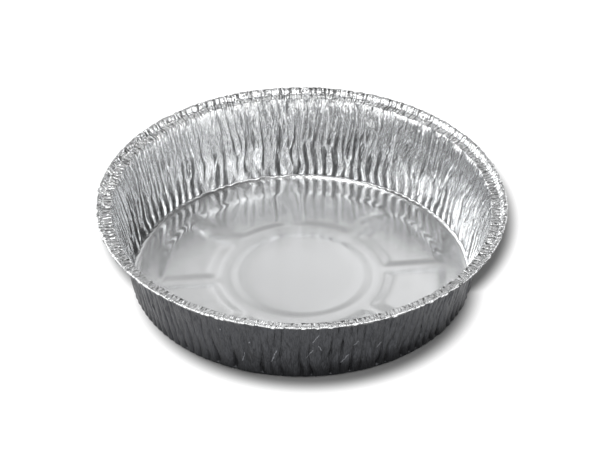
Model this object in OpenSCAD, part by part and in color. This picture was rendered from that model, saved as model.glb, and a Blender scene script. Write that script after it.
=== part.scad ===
// Round pie tin pressed from one sheet of thin aluminium foil.
// The gathered wall, the crimped ledge, the flange with its curled edge and the
// stamped base are one closed shell of constant thickness, standing on z = 0.

/* [Overall] */
// Diameter over the curled rim
rim_d = 230; // [150:1:320]
// Height from the table to the top of the rim
tin_h = 50; // [28:1:80]
// Thickness of the foil
foil_t = 0.1; // [0.06:0.01:0.2]

/* [Wall] */
// Diameter of the base edge, where the wall starts
base_d = 190; // [120:1:280]
// Radius of the bend between base and wall
foot_r = 2; // [1:0.1:4]
// Pleats around the foot of the wall
pleats = 112; // [64:2:118]
// Height of a crease between two pleats at the foot
pleat_depth = 0.9; // [0.3:0.05:1.4]
// Height of a crease near the mouth
crease_depth = 0.45; // [0.2:0.05:0.9]
// Lowest height at which a crease forks in two
fork_low = 12; // [6:1:20]
// Greatest height at which a crease forks in two
fork_high = 38; // [22:1:60]
// How far a pleat wanders sideways, in widths of a pleat
pleat_wander = 0.3; // [0:0.02:0.36]
// How far the flats between the creases tilt in and out
flat_tilt = 0.4; // [0:0.05:0.5]

/* [Rim] */
// Width of the flat crimped ledge around the mouth
ledge_w = 4.8; // [2.5:0.1:8]
// Width of the sloped flange with its curl
flange_w = 4.2; // [3:0.1:7]
// Rise of the flange above the ledge
rim_rise = 2.6; // [1.5:0.1:5]
// Drop of the curled edge below the top of the rim
curl_drop = 2; // [1.2:0.1:3]
// Depth of the crimps on ledge and flange
crimp_depth = 0.6; // [0.2:0.05:0.9]

/* [Base stamping] */
// Raised panels around the base
panels = 8; // [5:1:9]
// Turn of the panel pattern about the upright axis
panel_turn = 6.3; // [0:0.1:45]
// Flat band between the panels and the base edge, bevel included
edge_band = 18.2; // [12:0.2:26]
// Radial length of a panel on its raised flat
panel_len = 25.5; // [12:0.5:32]
// Height of panels and centre disc above the sheet
stamp_h = 1; // [0.4:0.1:2]
// Width of the bevels around panels and disc
bevel_w = 4.3; // [2:0.1:5]
// Flat width of a spoke between two panels
spoke_w = 4.4; // [2:0.2:8]
// Cut across the corners of a panel
corner_cut = 4; // [1:0.2:6]
// Flat ring between the panels and the centre disc
ring_w = 6.7; // [3:0.1:12]

/* [Hidden] */

half_t = foil_t / 2;
base_cols = 7 * panels;
sector = 360 / panels;
// a pair of pleats has four columns: an edge crease, a flat, a crease that forks and a flat
pairs = round(pleats / 2);
cols = 4 * pairs;

base_r = base_d / 2;
rim_r = rim_d / 2 - half_t;
ledge_r = rim_d / 2 - flange_w;
mouth_r = ledge_r - ledge_w;
low_z = half_t;
top_z = tin_h - half_t;
ledge_z = top_z - rim_rise;
lean = atan((mouth_r - base_r) / (ledge_z - low_z));
bend = foot_r * tan((90 - lean) / 2);
foot_in = base_r - bend;
foot_out = base_r + bend * sin(lean);
foot_z = low_z + bend * cos(lean);

// stations of the section from the base edge out to the cut edge of the foil:
// radius, height, share of the pleats and depth of the crimps there
crimp_a = crimp_depth / 2;
function wall_at(f) = [foot_out + (mouth_r - foot_out) * f, foot_z + (ledge_z - foot_z) * f, 1, 0];
stations = [
  [foot_in, low_z, 0, 0],
  [foot_out, foot_z, 0.4, 0],
  wall_at(0.24),
  wall_at(0.5),
  wall_at(0.76),
  [mouth_r, ledge_z, 0.3, crimp_a * 0.6],
  [ledge_r, ledge_z, 0, crimp_a],
  [ledge_r + flange_w * 0.5, top_z - rim_rise * 0.16, 0, crimp_a],
  [rim_r - flange_w * 0.24, top_z - crimp_a * 0.3, 0, crimp_a * 0.3],
  [rim_r - crimp_a * 0.5, top_z - curl_drop * 0.38, 0, crimp_a * 0.5],
  [rim_r - flange_w * 0.14, top_z - curl_drop, 0, crimp_a * 0.6]
];
last = len(stations) - 1;

// rings of the base from its outer bevel to the centre disc
ring_r = [
  base_r - edge_band + bevel_w,
  base_r - edge_band,
  base_r - edge_band - corner_cut,
  base_r - edge_band - panel_len + corner_cut,
  base_r - edge_band - panel_len,
  base_r - edge_band - panel_len - bevel_w,
  base_r - edge_band - panel_len - bevel_w - ring_w,
  base_r - edge_band - panel_len - bevel_w * 2 - ring_w
];
rings = len(ring_r);

// repeatable irregularity from -1 to 1 for item i of row k
function part_of(x) = x - floor(x);
function vary(i, k) = 2 * part_of(sin(i * 77.7 + k * 31.3 + 12.9) * 4375.8545) - 1;

// the same, changing smoothly from one level to the next, and round the tin as well
function mix(a, b, t) = a + (b - a) * t;
function smooth(t) = t * t * (3 - 2 * t);
function ramp(v, start, end) = smooth(min(1, max(0, (v - start) / (end - start))));
function changing(i, level, row) =
  let (j = floor(level))
  mix(vary(i, row + j), vary(i, row + j + 1), smooth(level - j));
function drift(share, level, around, row) =
  let (u = share * around, i = floor(u))
  mix(changing(i % around, level, row), changing((i + 1) % around, level, row), smooth(u - i));

// heights over which the creases, the flats and the wander change
edge_step = 11;
arm_step = 9;
low_step = 10;
high_step = 8;
wander_step = 20;
waver_step = 12;

// how far the crease in the middle of pair p has forked at height z, from 0 to 1
fork_rise = 6.5;
function fork_at(p) = mix(fork_low, fork_high, (1 + vary(p, 1)) / 2);
function forked(p, z) = ramp(z, fork_at(p) - fork_rise * 0.4, fork_at(p) + fork_rise * 0.6);

// creases stand towards the inside of the tin, apart from a few
function crease_side(p, row) = vary(p, row) > -0.6 ? 1 : -1;
function edge_crease(p, z) = (0.85 + 0.4 * changing(p, z / edge_step, 30)) * crease_side(p, 50);
function arm_crease(p, arm, z) =
  (0.8 + 0.5 * changing(2 * p + arm, z / arm_step, 40)) * crease_side(p, 51);

// the flats tilt between one crease and the next
function low_tilt(n, z) = changing(n % (2 * pairs), z / low_step, 60);
function high_tilt(n, z) = changing(n % (3 * pairs), z / high_step, 70);
function tilt(p, c, z) =
  let (
    low = (low_tilt(2 * p + floor(c / 2), z) + low_tilt(2 * p + ceil(c / 2), z)) / 2,
    high = c == 2
      ? (high_tilt(3 * p + 1, z) + high_tilt(3 * p + 2, z)) / 2
      : high_tilt(3 * p + (c == 3 ? 2 : c), z)
  )
  mix(low, high * 0.8, forked(p, z));

// how far column c of pair p is folded in at height z
function pleat(p, c, z) =
  let (
    f = forked(p, z),
    deep = mix(pleat_depth, crease_depth, ramp(z, fork_low, fork_high)),
    crease = c == 0 ? edge_crease(p, z) * (1 - 0.8 * f)
      : c == 2 ? (arm_crease(p, 0, z) + arm_crease(p, 1, z)) / 2 * (1 - f)
      : arm_crease(p, (c - 1) / 2, z) * f
  )
  deep * crease + flat_tilt * tilt(p, c, z);
function crimp(i, k) =
  ((i % 2 == 0 ? 1 : -1) * (0.62 + 0.38 * vary(i, 80 + k)) + 0.3 * vary(i, 100 + k)) / 1.3;
function fold(i, k) =
  (stations[k][2] > 0 ? stations[k][2] * pleat(floor(i / 4), i % 4, stations[k][1]) : 0)
  + stations[k][3] * crimp(i, k);

// direction square to the section at station k, towards the inside of the tin
function unit(v) = v / norm(v);
function flat2(k) = [stations[k][0], stations[k][1]];
function run(k) = unit(flat2(k + 1) - flat2(k));
function along(k) =
  k == 0 ? unit([1, 0] + run(0))
  : k == last ? run(last - 1)
  : unit(run(k - 1) + run(k));
function square(k) = [-along(k)[1], along(k)[0]];
function miter(k) = k == last ? 1 : 1 / max(0.6, along(k) * run(k));

// columns draw together where a crease forks, and wander sideways with height
half_pairs = floor(pairs / 2);
function wander(share, z) =
  pleat_wander * (drift(share, z / wander_step, half_pairs, 10)
    + drift(share, z / waver_step, 3 * half_pairs, 20) * 2 / 3);
function col_angle(i, k) =
  let (
    z = stations[k][1],
    f = stations[k][2] > 0 ? forked(floor(i / 4), z) : 0,
    shift = i % 4 == 1 ? f / 3 : i % 4 == 3 ? -f / 3 : 0,
    loose = ramp(z, 1, 10) * (stations[k][2] > 0 ? 1 : 0.4)
  )
  360 * (i + shift + 2 * loose * wander(i / cols, z)) / cols;

function wall_point(i, k, side) =
  let (
    n = square(k),
    d = fold(i, k) + side * half_t * miter(k),
    r = stations[k][0] + n[0] * d,
    a = col_angle(i, k)
  )
  [r * cos(a), r * sin(a), stations[k][1] + n[1] * d];

// angle inside one sector of ring b: 0 spoke, 1 and 6 bevel foot, 2 to 5 panel
function half_span(w, r) = min(asin(min(0.9, w / r)), sector * 0.42);
function cut_at(b) = (b < 2 || b > 3) ? corner_cut : 0;
function sector_angle(b, c) =
  let (
    foot = half_span(spoke_w / 2, ring_r[b]),
    top = half_span(spoke_w / 2 + bevel_w + cut_at(b), ring_r[b])
  )
  c == 0 ? 0
  : c == 1 ? foot
  : c == 6 ? sector - foot
  : top + (sector - 2 * top) * (c - 2) / 3;
function ring_angle(b, j) =
  b > 5
  ? panel_turn + 360 * j / base_cols
  : panel_turn + sector * floor(j / 7) + sector_angle(b, j % 7);
function lift(b, c) =
  b == rings - 1 ? stamp_h
  : (b > 0 && b < 5 && c > 1 && c < 6) ? stamp_h : 0;
function base_point(j, b, side) =
  let (a = ring_angle(b, j))
  [ring_r[b] * cos(a), ring_r[b] * sin(a), low_z + lift(b, j % 7) + side * half_t];

function sheet(side) = concat(
  [[0, 0, low_z + stamp_h + side * half_t]],
  [for (b = [0 : rings - 1], j = [0 : base_cols - 1]) base_point(j, b, side)],
  [for (k = [0 : last], i = [0 : cols - 1]) wall_point(i, k, side)]
);
sheet_len = 1 + rings * base_cols + (last + 1) * cols;

// numbers of the points of the upper sheet
function bp(j, b) = 1 + b * base_cols + (j + base_cols) % base_cols;
function wp(i, k) = 1 + rings * base_cols + k * cols + (i % cols);

// two triangles of a quad, cut along one diagonal or the other
function quad(a, b, c, d, other) = other ? [[a, b, c], [a, c, d]] : [[a, b, d], [b, c, d]];
function join(lists) = [for (l = lists) for (t = l) t];

disc_faces = [for (j = [0 : base_cols - 1]) [0, bp(j, rings - 1), bp(j + 1, rings - 1)]];
ring_faces = join([for (b = [0 : rings - 2], j = [0 : base_cols - 1])
  quad(bp(j, b + 1), bp(j, b), bp(j + 1, b), bp(j + 1, b + 1),
    (b < 3) != (j % 7 > 3))]);
// each column of the wall starts from the column of the base that is nearest round the tin
function nearest(i) = round((i / cols - panel_turn / 360) * base_cols);
edge_faces = join([for (i = [0 : cols - 1])
  let (j = nearest(i), next = nearest(i + 1))
  concat(
    [[bp(j, 0), wp(i, 0), wp(i + 1, 0)]],
    [for (s = [j : 1 : next - 1]) [bp(s, 0), wp(i + 1, 0), bp(s + 1, 0)]]
  )]);
wall_faces = join([for (k = [0 : last - 1], i = [0 : cols - 1])
  quad(wp(i, k), wp(i, k + 1), wp(i + 1, k + 1), wp(i + 1, k), vary(i, 120 + k) > 0)]);
sheet_faces = concat(disc_faces, ring_faces, edge_faces, wall_faces);

function turned(f) = [f[2], f[1], f[0]];
function moved(f) = [f[0] + sheet_len, f[1] + sheet_len, f[2] + sheet_len];
lip_faces = join([for (i = [0 : cols - 1])
  quad(wp(i, last), wp(i + 1, last), wp(i + 1, last) + sheet_len, wp(i, last) + sheet_len,
    vary(i, 120 + last) > 0)]);

module foil_tin() {
  color("#c8cbd0")
    polyhedron(
      points = concat(sheet(1), sheet(-1)),
      faces = concat(
        [for (f = sheet_faces) turned(f)],
        [for (f = sheet_faces) moved(f)],
        lip_faces
      ),
      convexity = 8
    );
}

foil_tin();
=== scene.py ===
import math
import bpy
import numpy as np
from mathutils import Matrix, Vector


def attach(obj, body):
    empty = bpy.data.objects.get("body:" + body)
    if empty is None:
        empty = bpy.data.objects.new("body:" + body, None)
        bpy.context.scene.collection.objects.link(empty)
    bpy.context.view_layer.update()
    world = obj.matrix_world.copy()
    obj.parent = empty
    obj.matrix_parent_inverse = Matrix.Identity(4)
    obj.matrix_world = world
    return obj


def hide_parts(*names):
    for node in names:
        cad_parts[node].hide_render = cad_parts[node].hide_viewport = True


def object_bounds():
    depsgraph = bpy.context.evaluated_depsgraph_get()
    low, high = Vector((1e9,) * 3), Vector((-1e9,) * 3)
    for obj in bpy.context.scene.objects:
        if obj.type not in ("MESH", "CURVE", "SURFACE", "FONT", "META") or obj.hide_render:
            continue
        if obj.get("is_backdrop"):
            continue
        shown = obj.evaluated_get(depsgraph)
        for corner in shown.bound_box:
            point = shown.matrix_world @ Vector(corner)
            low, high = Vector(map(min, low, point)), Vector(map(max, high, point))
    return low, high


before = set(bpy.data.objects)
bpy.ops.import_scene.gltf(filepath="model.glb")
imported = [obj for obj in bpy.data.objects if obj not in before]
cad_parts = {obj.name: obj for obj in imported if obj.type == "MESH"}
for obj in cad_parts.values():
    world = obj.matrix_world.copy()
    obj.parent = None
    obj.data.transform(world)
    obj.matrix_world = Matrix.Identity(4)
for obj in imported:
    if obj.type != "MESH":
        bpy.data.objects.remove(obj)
cad_low, cad_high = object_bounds()


# The camera stands in front of the tin and looks down into it through a long lens.
# It stands at azimuth 0, so its right is +X.
camera_distance = 2.8
camera_height_angle = math.radians(36.1)
camera_aim = Vector((-0.000865, 0, 0.034794))
camera_lens = 300.7

camera_data = bpy.data.cameras.new("camera")
camera_data.lens = camera_lens
camera_data.sensor_width = 36
camera_data.clip_start = 0.1
camera_data.clip_end = 20
camera = bpy.data.objects.new("camera", camera_data)
bpy.context.collection.objects.link(camera)
towards_camera = Vector((0, -math.cos(camera_height_angle), math.sin(camera_height_angle)))
camera.location = camera_aim + towards_camera * camera_distance
camera.rotation_mode = "QUATERNION"
camera.rotation_quaternion = (-towards_camera).to_track_quat("-Z", "Y")
bpy.context.scene.camera = camera


# The floor is a wide sweep of pale matt paper that the tin stands on. Camera, glossy and
# transmission rays see it lifted to white, save in a circle round the foot and one behind the rim:
# there the lift falls away, and the paper's darker grey shows as a painted shadow, with the real
# shadow of the lamps on it.
floor_size = 14
floor_colour = "#9a9a9a"
floor_lifted = 1.0
foot_shade_centre = Vector((0.0038, -0.010, 0))
foot_shade_start = 0.0860
foot_shade_width = 0.0165
rim_shade_centre = Vector((0.004, 0.055, 0))
rim_shade_start = 0.1115
rim_shade_width = 0.0125


def linear(hex_colour):
    """An sRGB hex colour as the linear numbers that shaders take."""
    parts = [int(hex_colour[i:i + 2], 16) / 255 for i in (1, 3, 5)]
    return [c / 12.92 if c <= 0.04045 else ((c + 0.055) / 1.055) ** 2.4 for c in parts] + [1]


def add_node(tree, kind, settings=None, links=None):
    """One shader node with its settings and its input links or values."""
    node = tree.nodes.new(kind)
    for name, value in (settings or {}).items():
        setattr(node, name, value)
    for socket, value in (links or {}).items():
        if isinstance(value, bpy.types.NodeSocket):
            tree.links.new(value, node.inputs[socket])
        else:
            node.inputs[socket].default_value = value
    return node


bpy.ops.object.select_all(action="DESELECT")
bpy.ops.mesh.primitive_plane_add(size=floor_size, location=(0, 0, 0))
floor = bpy.context.object
floor.name = "floor"

# Matt paper: it gives no shine, so that only the shadow shows on it
floor_finish = bpy.data.materials.new("matt_paper_sweep")
floor_finish.use_nodes = True
floor_tree = floor_finish.node_tree
floor_tree.nodes.clear()
floor_paint = add_node(floor_tree, "ShaderNodeBsdfDiffuse", links={"Color": linear(floor_colour)})
floor_place = add_node(floor_tree, "ShaderNodeTexCoord")
# Painted shadow: the lift to white falls away inside two circles, round the foot and behind the rim
floor_lift = []
for shade_centre, shade_start, shade_width in (
        (foot_shade_centre, foot_shade_start, foot_shade_width),
        (rim_shade_centre, rim_shade_start, rim_shade_width)):
    from_centre = add_node(floor_tree, "ShaderNodeVectorMath", {"operation": "DISTANCE"}, {
        0: floor_place.outputs["Object"], 1: shade_centre})
    lift = add_node(floor_tree, "ShaderNodeMapRange", {"interpolation_type": "SMOOTHSTEP"}, {
        "Value": from_centre.outputs["Value"], "From Min": shade_start,
        "From Max": shade_start + shade_width, "To Min": 0.0, "To Max": floor_lifted})
    floor_lift.append(lift.outputs[0])
least_lift = add_node(floor_tree, "ShaderNodeMath", {"operation": "MINIMUM"}, {
    0: floor_lift[0], 1: floor_lift[1]})
floor_glow = add_node(floor_tree, "ShaderNodeEmission", links={
    "Color": (1, 1, 1, 1), "Strength": least_lift.outputs[0]})
floor_sum = add_node(floor_tree, "ShaderNodeAddShader", links={
    0: floor_paint.outputs[0], 1: floor_glow.outputs[0]})
floor_path = add_node(floor_tree, "ShaderNodeLightPath")
floor_seen = add_node(floor_tree, "ShaderNodeMath", {"operation": "MAXIMUM"}, {
    0: floor_path.outputs["Is Camera Ray"], 1: floor_path.outputs["Is Glossy Ray"]})
floor_seen = add_node(floor_tree, "ShaderNodeMath", {"operation": "MAXIMUM"}, {
    0: floor_seen.outputs[0], 1: floor_path.outputs["Is Transmission Ray"]})
floor_mix = add_node(floor_tree, "ShaderNodeMixShader", links={
    0: floor_seen.outputs[0], 1: floor_paint.outputs[0], 2: floor_sum.outputs[0]})
add_node(floor_tree, "ShaderNodeOutputMaterial", links={"Surface": floor_mix.outputs[0]})
floor.data.materials.append(floor_finish)
floor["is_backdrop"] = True


# Plain soft studio light at about the level of white paper: a softbox overhead, and a room of
# plain panels of several greys with dark gaps between them, which the bright foil mirrors.
box_size = 0.5
box_distance = 1.6
box_brightness = 4.0
box_towards = Vector((-0.17, 0.04, 0.98)).normalized()

box_light = bpy.data.lights.new("softbox_top", "AREA")
box_light.shape = "SQUARE"
box_light.size = box_size
box_light.energy = box_brightness * math.pi * box_size ** 2
softbox = bpy.data.objects.new("softbox_top", box_light)
bpy.context.collection.objects.link(softbox)
softbox.location = box_towards * box_distance
softbox.rotation_mode = "QUATERNION"
softbox.rotation_quaternion = box_towards.to_track_quat("Z", "Y")
softbox.visible_camera = False

# Panels of the room: the middle azimuth from +X towards +Y and half the width, the lowest and
# the highest edge above the horizon, all in degrees, and the brightness, where 1 is white
studio_panels = {
    "left_strip": (170, 55, 14, 31, 2.5),
    "left_wall": (178, 54, 31, 42, 1.2),
    "left_back_wall": (138, 14, 36, 52, 0.9),
    "back_right_strip": (55, 10, 15, 45, 1.9),
    "back_wall": (94, 20, 27, 46, 0.43),
    "back_wall_middle": (100, 14, 27, 46, 0.20),
    "back_wall_left": (106, 9, 27, 46, 0.20),
    "back_wall_right": (76, 13.8, 27, 46, 0.44),
    "back_wall_top": (90, 30, 46, 66, 0.20),
    "back_top": (90, 45, 66, 90, 0.6),
    "back_low": (90, 60, 0, 9, 0.9),
    "ceiling": (282, 56, 62, 90, 0.44),
    "right_front_wall": (325, 35, 30, 46, 2.3),
    "right_front_strip": (312, 18, 15, 30, 2.0),
    "low_front": (260, 110, 0, 14, 1.4),
    "over_camera": (258, 33, 28, 54, 1.7),
    "right_high": (8, 50, 46, 62, 0.38),
    "left_high": (200, 30, 46, 60, 0.22),
}
gap_brightness = 0.06
panel_soft_edge = 5
zenith = 90

world = bpy.context.scene.world or bpy.data.worlds.new("studio")
bpy.context.scene.world = world
world.use_nodes = True
room_tree = world.node_tree
room_tree.nodes.clear()
room_direction = add_node(room_tree, "ShaderNodeTexCoord")
room_level = add_node(room_tree, "ShaderNodeVectorMath", {"operation": "MULTIPLY"}, {
    0: room_direction.outputs["Generated"], 1: (1, 1, 0)})
room_level = add_node(room_tree, "ShaderNodeVectorMath", {"operation": "NORMALIZE"}, {
    0: room_level.outputs[0]})
room_height = add_node(room_tree, "ShaderNodeSeparateXYZ", links={
    0: room_direction.outputs["Generated"]})
room_sum = gap_brightness
half_edge = panel_soft_edge / 2
for azimuth, half_width, low_edge, high_edge, brightness in studio_panels.values():
    level_turn = math.radians(azimuth)
    towards_panel = add_node(room_tree, "ShaderNodeVectorMath", {"operation": "DOT_PRODUCT"}, {
        0: room_level.outputs[0], 1: (math.cos(level_turn), math.sin(level_turn), 0)})
    panel = add_node(room_tree, "ShaderNodeMapRange", {"interpolation_type": "SMOOTHSTEP"}, {
        "Value": towards_panel.outputs["Value"],
        "From Min": math.cos(math.radians(half_width + half_edge)),
        "From Max": math.cos(math.radians(half_width - half_edge)),
        "To Min": 0, "To Max": brightness})
    panel_edges = [(low_edge - half_edge, low_edge + half_edge)]
    if high_edge < zenith:
        panel_edges.append((high_edge + half_edge, high_edge - half_edge))
    for dark_from, full_from in panel_edges:
        edge = add_node(room_tree, "ShaderNodeMapRange", {"interpolation_type": "SMOOTHSTEP"}, {
            "Value": room_height.outputs["Z"],
            "From Min": math.sin(math.radians(dark_from)),
            "From Max": math.sin(math.radians(full_from))})
        panel = add_node(room_tree, "ShaderNodeMath", {"operation": "MULTIPLY"}, {
            0: panel.outputs[0], 1: edge.outputs[0]})
    room_sum = add_node(room_tree, "ShaderNodeMath", {"operation": "ADD"}, {
        0: room_sum, 1: panel.outputs[0]}).outputs[0]
room_path = add_node(room_tree, "ShaderNodeLightPath")
room_light = add_node(room_tree, "ShaderNodeBackground", links={
    "Color": (1, 1, 1, 1), "Strength": room_sum})
room_white = add_node(room_tree, "ShaderNodeBackground", links={
    "Color": (1, 1, 1, 1), "Strength": 1.0})
room_mix = add_node(room_tree, "ShaderNodeMixShader", links={
    0: room_path.outputs["Is Camera Ray"], 1: room_light.outputs[0], 2: room_white.outputs[0]})
add_node(room_tree, "ShaderNodeOutputWorld", links={"Surface": room_mix.outputs[0]})
bpy.context.scene.view_settings.view_transform = "Standard"


# The tin is one sheet of soft aluminium foil, 0.1 mm thick, pressed in one stroke: the spare
# foil of the wall gathers into pleats, and the rim is crimped flat and curled over.
# Here it is drawn ring by ring on its middle surface, folded, and then given its thickness.
foil_thickness = 0.0001
half_foil = foil_thickness / 2
tin_high = cad_high.z - half_foil
rim_radius = cad_high.x - half_foil
base_radius = 0.095
foot_flat = 0.0905
foot_wide = 0.005
foot_high = 0.00225
mouth_radius = 0.106
ledge_radius = 0.1108
rim_rise = 0.0026
ledge_high = tin_high - rim_rise

# The stamped pattern of the base
panel_count = 8
panel_turn = math.radians(6.3)
panel_outer = 0.0768
panel_inner = 0.0513
panel_high = 0.00072
disc_high = 0.00055
bevel_width = 0.0043
spoke_half = 0.0065
panel_corner = 0.004
disc_radius = 0.0355

# Rings of the base, close together on the bevels and far apart on the flats
hub_radius = 0.004
bevel_spare = 0.001
disc_edges = (disc_radius - bevel_spare, disc_radius + bevel_width + bevel_spare)
inner_edges = (panel_inner - bevel_width - bevel_spare, panel_inner + bevel_spare)
outer_edges = (panel_outer - bevel_spare, panel_outer + bevel_width + bevel_spare)
disc_step = 0.007
flat_step = 0.003
bevel_step = 0.0012
foot_step = 0.001
base_runs = [
    (hub_radius * 2, disc_edges[0], disc_step),
    (disc_edges[0], disc_edges[1], bevel_step),
    (disc_edges[1], inner_edges[0], flat_step),
    (inner_edges[0], inner_edges[1], bevel_step),
    (inner_edges[1], outer_edges[0], flat_step),
    (outer_edges[0], outer_edges[1], bevel_step),
    (outer_edges[1], foot_flat, flat_step),
    (foot_flat, foot_flat + 2 * foot_step, foot_step),
]


def even_steps(start, end, step):
    """Radii from start to end in about equal steps, the end left out."""
    count = max(1, round(abs(end - start) / step))
    return [start + (end - start) * i / count for i in range(count)]


def arc_points(centre, radius, start, end, count):
    """Points on an arc of the section, angles in degrees from the outward direction."""
    angles = [math.radians(start + (end - start) * i / count) for i in range(count + 1)]
    return [(centre[0] + radius * math.cos(a), centre[1] + radius * math.sin(a)) for a in angles]


base_rings = [radius for base_run in base_runs for radius in even_steps(*base_run)]

# The section from the edge of the flat base over the wall, ledge and flange to the curl.
# The foot turns up on a quarter ellipse, from 25 degrees on, and the wall bows inward.
foot_turns = [math.radians(25 + 11.8 * i) for i in range(6)]
foot_arc = [(foot_flat + foot_wide * math.sin(t), half_foil + foot_high * (1 - math.cos(t)))
            for t in foot_turns]
lean = math.degrees(math.atan((mouth_radius - base_radius) / (ledge_high - half_foil)))
mouth_bend = 0.0005
mouth_out = mouth_bend * math.tan(math.radians((90 - lean) / 2))
mouth_centre = (mouth_radius + mouth_out, ledge_high - mouth_bend)
mouth_arc = arc_points(mouth_centre, mouth_bend, 180 - lean, 90, 2)
wall_rows = 20
wall_bow = 0.0009
wall_foot = foot_arc[-1]
wall_top = mouth_arc[0]
wall_steps = [(i / wall_rows) ** 1.2 for i in range(1, wall_rows)]
wall_line = [(wall_foot[0] + (wall_top[0] - wall_foot[0]) * t - wall_bow * 4 * t * (1 - t),
              wall_foot[1] + (wall_top[1] - wall_foot[1]) * t) for t in wall_steps]
curl_radius = 0.00085
curl_spare = 0.0002
curl_drop = 0.002
curl_centre = (rim_radius - curl_radius - curl_spare, tin_high - curl_radius - curl_spare)
flange_top = (curl_centre[0] - curl_radius * 1.5, tin_high - 0.0003)
ledge_line = [(ledge_radius - back, ledge_high) for back in (0.0035, 0.0018, 0)]
flange_line = [(ledge_radius + (flange_top[0] - ledge_radius) * t,
                ledge_high + (flange_top[1] - ledge_high) * t) for t in (0.33, 0.67, 1)]
curl_arc = arc_points(curl_centre, curl_radius, 90, -30, 4)
curl_end = (rim_radius - curl_radius * 0.75, tin_high - curl_drop)
section = foot_arc + wall_line + mouth_arc + ledge_line + flange_line + curl_arc + [curl_end]
wall_top_ring = len(foot_arc) + len(wall_line)
mouth_ring = wall_top_ring + len(mouth_arc) - 1
ledge_ring = mouth_ring + len(ledge_line)

base_columns = 252
wall_columns = 1008

bpy.ops.object.select_all(action="DESELECT")
bpy.ops.mesh.primitive_circle_add(vertices=base_columns, radius=hub_radius, fill_type="TRIFAN",
                                  location=(0, 0, 0))
tin = bpy.context.object
tin.name = "foil_sheet"


def pull_out(from_ring, to_ring):
    """Extrudes the selected ring of edges to the next radius and height."""
    grow = to_ring[0] / from_ring[0]
    bpy.ops.mesh.extrude_region_move()
    bpy.ops.transform.resize(value=(grow, grow, 1), center_override=(0, 0, 0))
    bpy.ops.transform.translate(value=(0, 0, to_ring[1] - from_ring[1]))


bpy.ops.object.mode_set(mode="EDIT")
bpy.ops.mesh.select_mode(type="EDGE")
bpy.ops.mesh.select_all(action="SELECT")
bpy.ops.mesh.region_to_loop()
last_ring = (hub_radius, 0.0)
for radius in base_rings + [section[0][0]]:
    pull_out(last_ring, (radius, 0.0))
    last_ring = (radius, 0.0)

# The wall needs more columns than the base, so the edges of its first ring are divided
bpy.ops.mesh.subdivide(number_cuts=wall_columns // base_columns - 1)
bpy.ops.mesh.select_all(action="DESELECT")
bpy.ops.object.mode_set(mode="OBJECT")
ring_spare = 0.0002
for vertex in tin.data.vertices:
    vertex.select = vertex.co.length > section[0][0] - ring_spare
base_points = len(tin.data.vertices)
bpy.ops.object.mode_set(mode="EDIT")
bpy.ops.mesh.select_mode(type="VERT")
bpy.ops.mesh.select_mode(type="EDGE")
for ring in section[1:]:
    pull_out(last_ring, (ring[0], ring[1] - half_foil))
    last_ring = (ring[0], ring[1] - half_foil)
bpy.ops.object.mode_set(mode="OBJECT")

points = np.zeros(len(tin.data.vertices) * 3)
tin.data.vertices.foreach_get("co", points)
points = points.reshape(-1, 3)
in_wall = np.arange(len(points)) >= base_points

# Distance along the section from the base edge, and the direction along it at each ring
section_points = np.array(section)
section_runs = np.diff(section_points, axis=0)
run_lengths = np.linalg.norm(section_runs, axis=1)
run = np.concatenate([[0], np.cumsum(run_lengths)])
wall_end = run[wall_top_ring]
ledge_end = run[ledge_ring]
directions = section_runs / run_lengths[:, None]
along = np.vstack([[1, 0], directions]) + np.vstack([directions, directions[-1:]])
along /= np.linalg.norm(along, axis=1)[:, None]
ring_radius = section_points[:, 0]
ring_height = section_points[:, 1]
ring_count = len(section)

random_numbers = np.random.default_rng(23)


def ramp_between(values, start, end):
    """0 before start, 1 after end, smooth between."""
    t = np.clip((values - start) / (end - start), 0, 1)
    return t * t * (3 - 2 * t)


def vary(item, row):
    """The part's own irregularity, from -1 to 1, so that the main folds lie where its are.
    Each use of it has a row of its own."""
    value = np.sin(np.radians(item * 77.7 + row * 31.3 + 12.9)) * 4375.8545
    return 2 * (value - np.floor(value)) - 1


def changing(item, heights, step, row):
    """The irregularity of an item as it changes smoothly with height."""
    level = heights / step
    j = np.floor(level)
    t = ramp_between(level - j, 0, 1)
    return vary(item, row + j) * (1 - t) + vary(item, row + j + 1) * t


def drift(share, heights, step, around, row):
    """The same, smooth round the tin as well, for a place given as a share of the way round."""
    across = share * around
    i = np.floor(across)
    s = ramp_between(across - i, 0, 1)
    return (changing(i % around, heights, step, row) * (1 - s)
            + changing((i + 1) % around, heights, step, row) * s)


# Low on the wall there are 9 columns to a pleat. Higher up, two pleats become three, so there
# are 6, and in the rim there are 4 to a crimp. The columns crowd towards the creases.
low_share = 9
high_share = 6
crimp_share = 4
pair_share = low_share * 2
low_count = wall_columns // low_share
high_count = wall_columns // high_share
crimp_count = wall_columns // crimp_share
pair_count = wall_columns // pair_share
column = np.arange(wall_columns)
column_azimuth = np.radians(column * 360 / wall_columns)
crowding = 0.6


def crowded(share):
    """Where each column stands, in pleats, drawn towards the creases at whole numbers."""
    part = (column % share) / share
    return column // share + part - crowding * np.sin(2 * math.pi * part) / (2 * math.pi)


# Each pair forks at a height of its own, between these two, over a few millimetres
fork_low = 0.012
fork_high = 0.038
fork_before = 0.0026
fork_after = 0.0039
wall_heights = ring_height[:, None]
fork_height = fork_low + (fork_high - fork_low) * (1 + vary(np.arange(pair_count), 1)) / 2
forked = ramp_between(wall_heights, fork_height - fork_before, fork_height + fork_after)
forked_column = np.repeat(forked, pair_share, axis=1)
low_angle = crowded(low_share) * 2 * math.pi / low_count
high_angle = crowded(high_share) * 2 * math.pi / high_count
crimp_angle = crowded(crimp_share) * 2 * math.pi / crimp_count
past_wall = ramp_between(run, wall_end - 0.0010, wall_end + 0.0006)[:, None]
angle = low_angle * (1 - forked_column) + high_angle * forked_column
angle = angle * (1 - past_wall) + crimp_angle * past_wall

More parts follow.
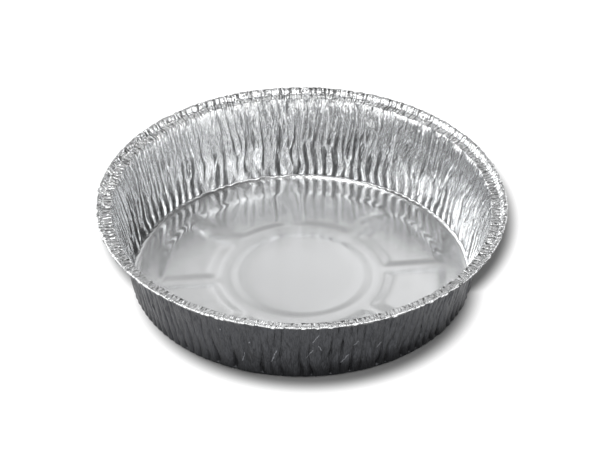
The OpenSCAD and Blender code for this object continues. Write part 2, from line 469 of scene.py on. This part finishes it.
# Every column wanders sideways by up to half a pleat, less in the rim
wander = (0.3 * drift(column / wall_columns, wall_heights, 0.020, pair_count // 2, 10)
          + 0.2 * drift(column / wall_columns, wall_heights, 0.012, 3 * pair_count // 2, 20))
strays = ramp_between(wall_heights, 0.001, 0.010)
strays = strays * (1 - 0.6 * ramp_between(run[:, None], wall_end, ledge_end))
angle += strays * wander * 2 * math.pi / low_count

folds = np.zeros((ring_count, wall_columns))


def add_crease(track, depth, width, reach):
    """Adds a raised crease along a track of column numbers, one for each ring."""
    for ring in np.where(np.abs(depth) > 2e-6)[0]:
        near = np.arange(int(track[ring]) - reach, int(track[ring]) + reach + 2)
        turns = near // wall_columns
        at = angle[ring, near % wall_columns] + turns * 2 * math.pi
        centre = np.interp(track[ring], near, at)
        off = np.abs(at - centre) * ring_radius[ring]
        folds[ring, near % wall_columns] += depth[ring] * np.exp(-(off / width[ring]) ** 1.6)


# Creases that run up the wall: one at each pair's edge, and one that forks in its middle. They
# are broad flutes below the forks, and broadest and deepest where they drop into the foot.
low_flute = 1 - ramp_between(ring_height, fork_low, fork_high)
drop = 1 - ramp_between(ring_height, 0.003, 0.012)
crease_high = 0.00045 + 0.00045 * low_flute
drop_high = 0.00070 * drop
crease_wide = 0.00050 + 0.00050 * low_flute + 0.00040 * drop
on_wall = ramp_between(run, 0.0014, 0.0042)
on_wall *= 1 - 0.3 * ramp_between(run, wall_end - 0.0055, wall_end - 0.0015)
on_wall *= 1 - ramp_between(run, wall_end - 0.0008, wall_end + 0.0008)
pairs = np.arange(pair_count)
strength = changing(pairs, wall_heights, 0.011, 30) * 0.4 + 0.85
fork_strength = changing(np.arange(2 * pair_count), wall_heights, 0.009, 40) * 0.5 + 0.8

# At the back right the wall is smoother, and a little at the back left
pair_azimuth = pairs * 360 / pair_count
calm = 1 - 0.35 * ramp_between(pair_azimuth, 0, 12) * (1 - ramp_between(pair_azimuth, 56, 72))
calm -= 0.2 * ramp_between(pair_azimuth, 108, 118) * (1 - ramp_between(pair_azimuth, 145, 160))
strength *= calm
fork_strength *= np.repeat(calm, 2)

# Most creases stand out inward, and some outward
side_of_pair = np.where(vary(pairs, 50) > -0.6, 1, -1)
side_of_fork = np.where(vary(pairs, 51) > -0.6, 1, -1)
crease_reach = 4
for pair in range(pair_count):
    first = pair * pair_share
    depth = (crease_high * side_of_pair[pair] + drop_high) * strength[:, pair] * on_wall
    add_crease(np.full(ring_count, float(first)), depth, crease_wide, crease_reach)
    for arm, side in ((0, -1), (1, 1)):
        track = first + low_share + side * (low_share - high_share) * forked[:, pair]
        depth = (crease_high * side_of_fork[pair] + drop_high) * fork_strength[:, 2 * pair + arm]
        depth = depth * (0.5 + 0.5 * forked[:, pair]) * on_wall
        add_crease(track, depth, crease_wide, crease_reach)

# Short slanting creases between them, each from its own height up
short_count = 700
short_top = 0.046
short_wide = 0.00045
short_reach = 3
for short in range(short_count):
    first = float(random_numbers.integers(wall_columns))
    low = short_top * random_numbers.uniform(0.06, 1) ** 0.7
    long = random_numbers.uniform(0.004, 0.014)
    slant = random_numbers.normal(0, 1.1)
    depth = random_numbers.choice([1, -1]) * random_numbers.uniform(0.00012, 0.00042)
    depth = depth * ramp_between(run, low - 0.002, low + 0.001)
    depth = depth * (1 - ramp_between(run, low + long - 0.001, low + long + 0.002))
    track = first + slant * (run - low) / 0.004
    add_crease(track, depth * on_wall, np.full(ring_count, short_wide), short_reach)


def between_creases(table, share):
    """Straight flats between one value at each crease."""
    part = (column % share) / share
    here = np.repeat(table, share, axis=1)
    there = np.repeat(np.roll(table, -1, axis=1), share, axis=1)
    return here * (1 - part) + there * part


# The flats between the creases tilt, and their skin is a little uneven
low_tilt = changing(np.arange(low_count), wall_heights, 0.010, 60) * 0.00040
high_tilt = changing(np.arange(high_count), wall_heights, 0.008, 70) * 0.00032
uneven_skin = 0.00004
tilted = between_creases(low_tilt, low_share) * (1 - forked_column)
tilted += between_creases(high_tilt, high_share) * forked_column
folds += (tilted + uneven_skin * random_numbers.uniform(-1, 1, folds.shape)) * on_wall[:, None]

# Small pits where the foil has buckled, on the upper wall
pit_count = 200
pit_lowest_ring = len(foot_arc) + 8
for pit in range(pit_count):
    pit_ring = random_numbers.integers(pit_lowest_ring, wall_top_ring)
    pit_column = random_numbers.integers(wall_columns)
    folds[pit_ring, pit_column] -= random_numbers.uniform(0.0003, 0.0006)

# Crimps pressed flat across the ledge, the flange and the curl, with a sharp groove between,
# and here and there a second one. Along the front the rim is pressed flatter
crimp_high = 0.00040
groove_deep = 0.0005
groove_side = 0.0003
second_groove = 0.0004
crimp_skin = 0.0001
crimp_height = crimp_high * random_numbers.uniform(-1, 1, (ring_count, crimp_count))
crimped = between_creases(crimp_height, crimp_share)
groove_depth = np.clip(random_numbers.uniform(0.0, 1, crimp_count)
                       + random_numbers.uniform(-0.4, 0.4, (ring_count, crimp_count)), 0, 1)
crimped[:, ::crimp_share] -= groove_deep * groove_depth
crimped[:, 1::crimp_share] -= groove_side * groove_depth
crimped[:, 2::crimp_share] -= second_groove * (random_numbers.uniform(0, 1, crimp_count) > 0.75)
crimped += crimp_skin * random_numbers.uniform(-1, 1, folds.shape)
front = ramp_between(-np.sin(column_azimuth), 0.1, 0.6)
crimped *= 1 - 0.5 * front
on_curl = ramp_between(run, ledge_end + 0.0030, ledge_end + 0.0042)[:, None]
folds += crimped * past_wall * (1 - 0.15 * on_curl)

# Painted shade at each point, from -1 to 1, darkest at the bottoms of valleys, where they catch
# less light. It is how far a point lies below its neighbours 1, 3 and 5 columns away, as a share
# of these, drawn stronger on the left and weaker high on the wall.
hollow_near = 0.00022
hollow_far = 0.0008
hollow_wide = 0.0010
nearby = (np.roll(folds, 1, axis=1) + np.roll(folds, -1, axis=1)) / 2
farther = (np.roll(folds, 3, axis=1) + np.roll(folds, -3, axis=1)) / 2
widest = (np.roll(folds, 5, axis=1) + np.roll(folds, -5, axis=1)) / 2
high_up = ramp_between(wall_heights, 0.018, 0.040)
left_side = ramp_between(-np.cos(column_azimuth), 0.90, 0.97)
broad = np.clip((farther - folds) / hollow_far + (widest - folds) / hollow_wide, -1, 1)
broad = broad * (0.62 - 0.3 * high_up) * (1 + 1.7 * left_side)
painted_shade = (nearby - folds) / hollow_near + broad
painted_shade = np.clip(painted_shade, -1, 1) * (1 - 0.3 * high_up * (1 - past_wall))

# Painted reflection of the dark: low on the left the flats between the folds are painted darker,
# the lowest rings are painted darker on the left, and one ring of the foot bend all round
painted_dark_low_left = ramp_between(-np.cos(column_azimuth), 0.80, 0.96)
painted_dark_low_left = painted_dark_low_left * (1 - ramp_between(wall_heights, 0.026, 0.044))
painted_shade += 0.5 * painted_dark_low_left * (painted_shade > -0.5)
painted_dark_foot_left = ramp_between(-np.cos(column_azimuth), 0.3, 0.7)
painted_shade[:4] = np.maximum(painted_shade[:4], 0.6 * painted_dark_foot_left)
painted_shade[len(foot_arc) - 2] = np.maximum(painted_shade[len(foot_arc) - 2], 0.7)

# Small dark marks painted along the front of the mouth at random crimps, as painted shade
of_crimps = np.arange(crimp_count)
on_front = front > 0.3
painted_dark_mark = np.repeat(vary(of_crimps, 80) > 0.3, crimp_share) * (column % crimp_share < 2)
mouth_rings = slice(mouth_ring, mouth_ring + 2)
painted_shade[mouth_rings] = np.where(painted_dark_mark & on_front, 1, painted_shade[mouth_rings])

# The underside of the front curl is in shade, save at the teeth that stand out of it
tooth = np.repeat(vary(of_crimps, 82) > 0.25, crimp_share) * (column % crimp_share < 3)
painted_shade[-3:] = np.where((tooth == 0) & on_front, 1, painted_shade[-3:])

# At the back some crimps of the flange are painted dark, as a painted reflection of a dark gap,
# most of all right of its middle
around = column * 360 / wall_columns
often = ramp_between(around, 66, 74) * (1 - ramp_between(around, 92, 98))
painted_dark_crimp = np.repeat(vary(of_crimps, 81), crimp_share) > 0.55 - 0.6 * often
painted_dark_crimp = painted_dark_crimp & (column % crimp_share > 0) & (column % crimp_share < 3)
painted_dark_crimp = painted_dark_crimp & (around > 45) & (around < 135)
flange_rings = slice(mouth_ring + 4, mouth_ring + 8)
painted_shade[flange_rings] = np.where(painted_dark_crimp, 0.9, painted_shade[flange_rings])

# The folds stand square to the section. The end of the curl is uneven. Along the front it ends
# higher, and the ledge is a little narrower and lower.
curl_uneven = 0.0008
front_narrower = 0.0005
front_lower = 0.0003
new_radius = section_points[:, :1] + folds * -along[:, 1:]
new_height = section_points[:, 1:] + folds * along[:, :1]
drop_change = np.repeat(random_numbers.uniform(-1, 1, crimp_count), crimp_share)
new_height[-2:] += curl_uneven * (drop_change * (1 - 0.4 * front) + 0.5 * front)
new_radius[mouth_ring - 2:mouth_ring + 2] += front_narrower * front
new_height[mouth_ring - 2:mouth_ring + 4] -= front_lower * front
new_radius = np.minimum(new_radius, rim_radius)
new_height = np.clip(new_height, half_foil, tin_high)
wall_points = np.stack([new_radius * np.cos(angle), new_radius * np.sin(angle), new_height], axis=-1)
ring_of = 1 + np.arange(len(points) - base_points) // wall_columns
stand = np.arctan2(points[in_wall, 1], points[in_wall, 0]) / (2 * math.pi) * wall_columns
column_of = np.round(stand).astype(int) % wall_columns
points[in_wall] = wall_points[ring_of, column_of]
# The painted shade goes with each point, for the finish to darken the colour by
painted_shade_values = np.zeros(len(points))
painted_shade_values[in_wall] = painted_shade[ring_of, column_of]
tin.data.attributes.new("painted_shade", "FLOAT", "POINT").data.foreach_set("value", painted_shade_values)

# The stamped panels and the centre disc
floor_part = np.where(~in_wall)[0]
x = points[floor_part, 0]
y = points[floor_part, 1]
r = np.hypot(x, y)
sector = 2 * math.pi / panel_count
turn = (np.arctan2(y, x) - panel_turn) % sector
to_side = np.minimum(r * np.sin(turn), r * np.sin(sector - turn))


def soft_max(values, blend):
    """The largest of several distances, with its corners rounded."""
    total = sum(np.exp(v / blend) for v in values)
    return np.log(total) * blend


def pressed_step(distance):
    """1 on the raised flat, 0 past the bevel, straight between with small bends."""
    t = distance / bevel_width
    bend = 0.14
    slope = np.sqrt(t ** 2 + bend ** 2) - np.sqrt((t - 1) ** 2 + bend ** 2)
    return np.clip(0.5 - 0.5 * slope, 0, 1)


# Dents in the base: the place (x, y), how wide and how deep, upward where it is negative
base_dents = [
    (-0.0361, 0.0362, 0.0030, 0.00035),
    (-0.0518, 0.0480, 0.0032, 0.00035),
    (0.0041, 0.0420, 0.0030, 0.00020),
    (-0.0555, 0.0664, 0.0050, 0.00070),
    (-0.0605, 0.0580, 0.0035, -0.00060),
    (-0.0470, 0.0700, 0.0035, -0.00045),
    (0.0520, 0.0620, 0.0040, 0.00030),
]
panel_distance = soft_max([r - panel_outer, panel_inner - r, spoke_half - to_side], panel_corner / 4)
stamped = panel_high * pressed_step(panel_distance) + disc_high * pressed_step(r - disc_radius)
for dent_x, dent_y, wide, deep in base_dents:
    stamped -= deep * np.exp(-((x - dent_x) ** 2 + (y - dent_y) ** 2) / wide ** 2) * (r < foot_flat)

# The flat foil is never quite flat: shallow waves in all directions, outside the disc
wave_count = 14
wave_high = 0.000005
for wave in range(wave_count):
    heading = random_numbers.uniform(0, 2 * math.pi)
    length = random_numbers.uniform(0.010, 0.030)
    phase = (x * math.cos(heading) + y * math.sin(heading)) / length * 2 * math.pi
    rise = wave_high * np.sin(phase + random_numbers.uniform(0, 6))
    stamped += rise * ramp_between(r, 0.03, 0.06) * (r < foot_flat)
past_flat = np.clip((r - foot_flat) / foot_wide, 0, 1)
foot_rise = foot_high * (1 - np.sqrt(1 - past_flat ** 2))
points[floor_part, 2] = half_foil + np.maximum(stamped, 0) + foot_rise
tin.data.vertices.foreach_set("co", points.ravel())
tin.data.update()

# The sheet's front is its inside, so its faces look up
bpy.ops.object.select_all(action="DESELECT")
tin.select_set(True)
bpy.context.view_layer.objects.active = tin
bpy.ops.object.mode_set(mode="EDIT")
bpy.ops.mesh.select_all(action="SELECT")
bpy.ops.mesh.normals_make_consistent(inside=False)
bpy.ops.object.mode_set(mode="OBJECT")
up_side = sum(p.normal.z * p.area for p in tin.data.polygons)
if up_side < 0:
    bpy.ops.object.mode_set(mode="EDIT")
    bpy.ops.mesh.flip_normals()
    bpy.ops.object.mode_set(mode="OBJECT")

# Scuffs on the outside of the front wall, each from one azimuth and height to another
scuff_width = 0.0004
scuff_core = scuff_width * 0.3
scuff_marks = [
    (-86.6, 0.0290, -84.7, 0.0350),
    (-88.4, 0.0163, -86.5, 0.0224),
    (-73.3, 0.0226, -72.0, 0.0260),
    (-77.3, 0.0105, -75.0, 0.0165),
    (-65.4, 0.0168, -63.7, 0.0200),
    (-99.8, 0.0119, -97.9, 0.0213),
    (-83.7, 0.0224, -84.7, 0.0257),
    (-109.4, 0.0097, -108.4, 0.0164),
    (-127.7, 0.0237, -127.7, 0.0240),
    (-106.4, 0.0259, -106.4, 0.0262),
    (-115.8, 0.0310, -115.8, 0.0313),
]

# Patterns as so many to the metre. Fine creases of worked foil are about 1.5 mm apart and drawn
# out six times as long up the wall. Lines from the rolls are really about 0.02 mm apart, too
# fine to show, so they are drawn at 0.45 mm. Scuffs wobble over about 2.2 mm.
creases_per_metre = 650
crease_drawn_out = 0.16
grain_per_metre = 2200
grain_deep = 0.00001
grain_stretch = 0.05
wobbles_per_metre = 450
wobble = 0.0008


def scuffed(tree, round_tin, height, paint, scuff_colour):
    """The paint with the scuffs over it. Each is a line on the tin's round wall, laid out on a
    cylinder through its mouth."""
    on_round = add_node(tree, "ShaderNodeCombineXYZ", links={"Z": height})
    on_round = add_node(tree, "ShaderNodeVectorMath", {"operation": "ADD"}, {
        0: round_tin, 1: on_round.outputs[0]})
    uneven = add_node(tree, "ShaderNodeTexNoise", {"noise_dimensions": "3D"}, {
        "Vector": on_round.outputs[0], "Scale": wobbles_per_metre, "Detail": 2, "Roughness": 0.6})
    uneven = add_node(tree, "ShaderNodeVectorMath", {"operation": "SCALE"}, {
        0: uneven.outputs["Color"], "Scale": 2 * wobble})
    uneven = add_node(tree, "ShaderNodeVectorMath", {"operation": "SUBTRACT"}, {
        0: uneven.outputs[0], 1: (wobble, wobble, wobble)})
    on_round = add_node(tree, "ShaderNodeVectorMath", {"operation": "ADD"}, {
        0: on_round.outputs[0], 1: uneven.outputs[0]})
    for start_azimuth, start_height, end_azimuth, end_height in scuff_marks:
        start_turn = math.radians(start_azimuth)
        end_turn = math.radians(end_azimuth)
        start = Vector((mouth_radius * math.cos(start_turn), mouth_radius * math.sin(start_turn),
                        start_height))
        end = Vector((mouth_radius * math.cos(end_turn), mouth_radius * math.sin(end_turn),
                      end_height))
        line = end - start
        from_start = add_node(tree, "ShaderNodeVectorMath", {"operation": "SUBTRACT"}, {
            0: on_round.outputs[0], 1: start})
        reached = add_node(tree, "ShaderNodeVectorMath", {"operation": "DOT_PRODUCT"}, {
            0: from_start.outputs[0], 1: line / line.length_squared})
        reached = add_node(tree, "ShaderNodeClamp", links={"Value": reached.outputs["Value"]})
        nearest = add_node(tree, "ShaderNodeVectorMath", {"operation": "SCALE"}, {
            0: line, "Scale": reached.outputs[0]})
        beside = add_node(tree, "ShaderNodeVectorMath", {"operation": "DISTANCE"}, {
            0: from_start.outputs[0], 1: nearest.outputs[0]})
        scuff = add_node(tree, "ShaderNodeMapRange", links={
            "Value": beside.outputs["Value"], "From Min": scuff_core, "From Max": scuff_width,
            "To Min": 1.0, "To Max": 0.0})
        scuff = add_node(tree, "ShaderNodeMix", {"data_type": "RGBA"}, {
            0: scuff.outputs[0], 6: paint, 7: scuff_colour})
        paint = scuff.outputs[2]
    return paint


def foil_side(name, colour, scuff_colour, base_roughness, wall_roughness, rim_roughness,
              crease_depth, crease_light, crease_spread, hollow_side, valley_light):
    """One side of the rolled foil, with its fine creases as a bump. hollow_side is 1 for the
    inside, whose valleys are the outside's ridges, and -1 for the outside."""
    finish = bpy.data.materials.new(name)
    finish.use_nodes = True
    tree = finish.node_tree
    tree.nodes.clear()
    place = add_node(tree, "ShaderNodeTexCoord")
    # Round the tin the pattern keeps its width, and up the wall it is drawn out long
    flat = add_node(tree, "ShaderNodeVectorMath", {"operation": "MULTIPLY"}, {
        0: place.outputs["Object"], 1: (1, 1, 0)})
    outward = add_node(tree, "ShaderNodeVectorMath", {"operation": "NORMALIZE"}, {0: flat.outputs[0]})
    round_tin = add_node(tree, "ShaderNodeVectorMath", {"operation": "SCALE"}, {
        0: outward.outputs[0], "Scale": mouth_radius})
    split = add_node(tree, "ShaderNodeSeparateXYZ", links={0: place.outputs["Object"]})
    radius = add_node(tree, "ShaderNodeVectorMath", {"operation": "LENGTH"}, {0: flat.outputs[0]})
    climb = add_node(tree, "ShaderNodeMath", {"operation": "ADD"}, {
        0: split.outputs["Z"], 1: radius.outputs["Value"]})
    climb = add_node(tree, "ShaderNodeMath", {"operation": "MULTIPLY"}, {
        0: climb.outputs[0], 1: crease_drawn_out})
    climb = add_node(tree, "ShaderNodeCombineXYZ", links={"Z": climb.outputs[0]})
    drawn = add_node(tree, "ShaderNodeVectorMath", {"operation": "ADD"}, {
        0: round_tin.outputs[0], 1: climb.outputs[0]})
    streaks = add_node(tree, "ShaderNodeTexNoise", {"noise_dimensions": "3D"}, {
        "Vector": drawn.outputs[0], "Scale": creases_per_metre, "Detail": 2, "Roughness": 0.55})
    folded = add_node(tree, "ShaderNodeMath", {"operation": "SUBTRACT"}, {0: streaks.outputs[0], 1: 0.5})
    folded = add_node(tree, "ShaderNodeMath", {"operation": "ABSOLUTE"}, {0: folded.outputs[0]})
    # The press has worked the foil from the foot outward, and left the flat base smooth
    worked = add_node(tree, "ShaderNodeMapRange", {"interpolation_type": "SMOOTHSTEP"}, {
        "Value": radius.outputs["Value"], "From Min": foot_flat + 0.003,
        "From Max": foot_flat + 0.006, "To Min": 0.0, "To Max": 1.0})
    folded = add_node(tree, "ShaderNodeMath", {"operation": "MULTIPLY"}, {
        0: folded.outputs[0], 1: worked.outputs[0]})
    creased = add_node(tree, "ShaderNodeBump", links={
        "Height": folded.outputs[0], "Strength": 1.0, "Distance": crease_depth})
    rolled = add_node(tree, "ShaderNodeVectorMath", {"operation": "MULTIPLY"}, {
        0: place.outputs["Object"], 1: (grain_stretch, 1, 1)})
    grain = add_node(tree, "ShaderNodeTexNoise", {"noise_dimensions": "3D"}, {
        "Vector": rolled.outputs[0], "Scale": grain_per_metre, "Detail": 2, "Roughness": 0.6})
    creased = add_node(tree, "ShaderNodeBump", links={
        "Height": grain.outputs[0], "Strength": 1.0, "Distance": grain_deep,
        "Normal": creased.outputs[0]})
    satin = add_node(tree, "ShaderNodeMapRange", links={
        "Value": worked.outputs[0], "From Min": 0.0, "From Max": 1.0,
        "To Min": base_roughness, "To Max": wall_roughness})
    satin = add_node(tree, "ShaderNodeMapRange", links={
        "Value": radius.outputs["Value"], "From Min": mouth_radius - 0.0005,
        "From Max": mouth_radius + 0.0008, "To Min": satin.outputs[0], "To Max": rim_roughness})
    # On the flat base the lines from the rolls spread the shine across them
    rolled_shine = add_node(tree, "ShaderNodeMapRange", links={
        "Value": worked.outputs[0], "From Min": 0.0, "From Max": 1.0, "To Min": 0.93, "To Max": 0.0})
    across_grain = add_node(tree, "ShaderNodeCombineXYZ", links={"Y": 1.0})
    # Painted shade: the colour is darkened in the valleys and along the fine creases, where light is
    # lost
    valley = add_node(tree, "ShaderNodeAttribute", {"attribute_name": "painted_shade"})
    valley = add_node(tree, "ShaderNodeMapRange", links={
        "Value": valley.outputs["Fac"], "From Min": 0.05 * hollow_side, "From Max": hollow_side,
        "To Min": 1.0, "To Max": valley_light})
    thin = add_node(tree, "ShaderNodeMapRange", links={
        "Value": folded.outputs[0], "From Min": 0.0, "From Max": crease_spread,
        "To Min": crease_light, "To Max": 1.0})
    thin = add_node(tree, "ShaderNodeMix", {"data_type": "FLOAT"}, {
        "Factor": worked.outputs[0], "A": 1.0, "B": thin.outputs[0]})
    painted_shade_factor = add_node(tree, "ShaderNodeMath", {"operation": "MULTIPLY"}, {
        0: valley.outputs[0], 1: thin.outputs[0]})
    paint = linear(colour)
    if scuff_colour:
        paint = scuffed(tree, round_tin.outputs[0], split.outputs["Z"], paint, linear(scuff_colour))
    metal = add_node(tree, "ShaderNodeMix", {"data_type": "RGBA", "blend_type": "MULTIPLY"}, {
        0: 1.0, 6: paint, 7: painted_shade_factor.outputs[0]})
    shine = add_node(tree, "ShaderNodeBsdfPrincipled", links={
        "Base Color": metal.outputs[2], "Metallic": 1.0, "Roughness": satin.outputs[0],
        "Anisotropic": rolled_shine.outputs[0], "Tangent": across_grain.outputs[0],
        "Normal": creased.outputs[0]})
    add_node(tree, "ShaderNodeOutputMaterial", links={"Surface": shine.outputs[0]})
    return finish


# The bright side lay against the polished roll: it mirrors the room, as white and dark strokes
# on the folds and as a soft satin sheen on the base
bright_side = foil_side(
    "bright_rolled_aluminium_foil", colour="#eeeff0", scuff_colour=None,
    base_roughness=0.2, wall_roughness=0.2, rim_roughness=0.14,
    crease_depth=0.0008, crease_light=0.76, crease_spread=0.03, hollow_side=1, valley_light=0.15)

# The matt side was rolled against another sheet. The outside of the wall is painted a soft dark
# grey, as painted shade for the dark floor it mirrors, with pale lines where handling has scuffed it
matt_side_painted_dark = foil_side(
    "matt_aluminium_foil_painted_dark", colour="#4b4c4f", scuff_colour="#94959a",
    base_roughness=0.36, wall_roughness=0.36, rim_roughness=0.28,
    crease_depth=0.0010, crease_light=0.62, crease_spread=0.06, hollow_side=-1, valley_light=0.7)

# The sheet gets its thickness. Its cut edge, inside the curl, counts with the matt side.
tin.data.materials.clear()
tin.data.materials.append(bright_side)
tin.data.materials.append(matt_side_painted_dark)
thickness = tin.modifiers.new("thickness", "SOLIDIFY")
thickness.thickness = foil_thickness
thickness.offset = 0
thickness.use_even_offset = False
thickness.material_offset = 1
thickness.material_offset_rim = 1
bpy.ops.object.modifier_apply(modifier="thickness")
bpy.ops.object.shade_smooth_by_angle(angle=math.radians(50))

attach(tin, "root")
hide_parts("foil_tin")

low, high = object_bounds()
